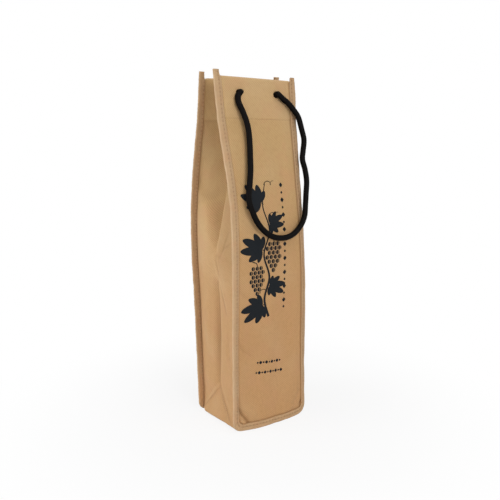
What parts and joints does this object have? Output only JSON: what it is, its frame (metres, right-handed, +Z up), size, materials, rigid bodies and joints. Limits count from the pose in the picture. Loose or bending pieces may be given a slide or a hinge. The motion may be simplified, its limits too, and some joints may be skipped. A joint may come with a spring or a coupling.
{
  "type": "wine gift bag",
  "caption": "Tall single-bottle gift bag of thin non-woven cloth with taped seams, folded-in sides and a rope handle that lifts.",
  "frame": {"origin": "centre of the bag's box at the level that it stands on", "axes": "+Z up, along the bag's height; -Y is the side with the rope handle; X runs along the panels' width"},
  "size_m": [0.1, 0.088, 0.3615],
  "materials": {
    "body_cloth": "matt tan non-woven with a fine pressed dot pattern",
    "binding_tape": "matt tan non-woven tape, a little paler than the body",
    "sewing_thread": "matt tan thread",
    "board": "matt brown board",
    "rope": "black braided rope with a slight sheen"
  },
  "bodies": {
    "root": {"front_panel": "body_cloth", "back_panel": "body_cloth", "side_and_base_strip": "body_cloth", "front_binding": "binding_tape", "rear_binding": "binding_tape", "front_seam_thread": "sewing_thread", "rear_seam_thread": "sewing_thread", "hem_thread": "sewing_thread", "base_board": "board", "front_rope_ends": "rope", "front_rope_knots": "rope"},
    "front_handle": {"front_rope_loop": "rope"}
  },
  "joints": [
    {"name": "front_handle_lift", "type": "hinge", "parent": "root", "child": "front_handle", "pos_m": [0, -0.01997, 0.34049], "axis": [-1, 0, 0], "range_deg": [0, 175]}
  ]
}
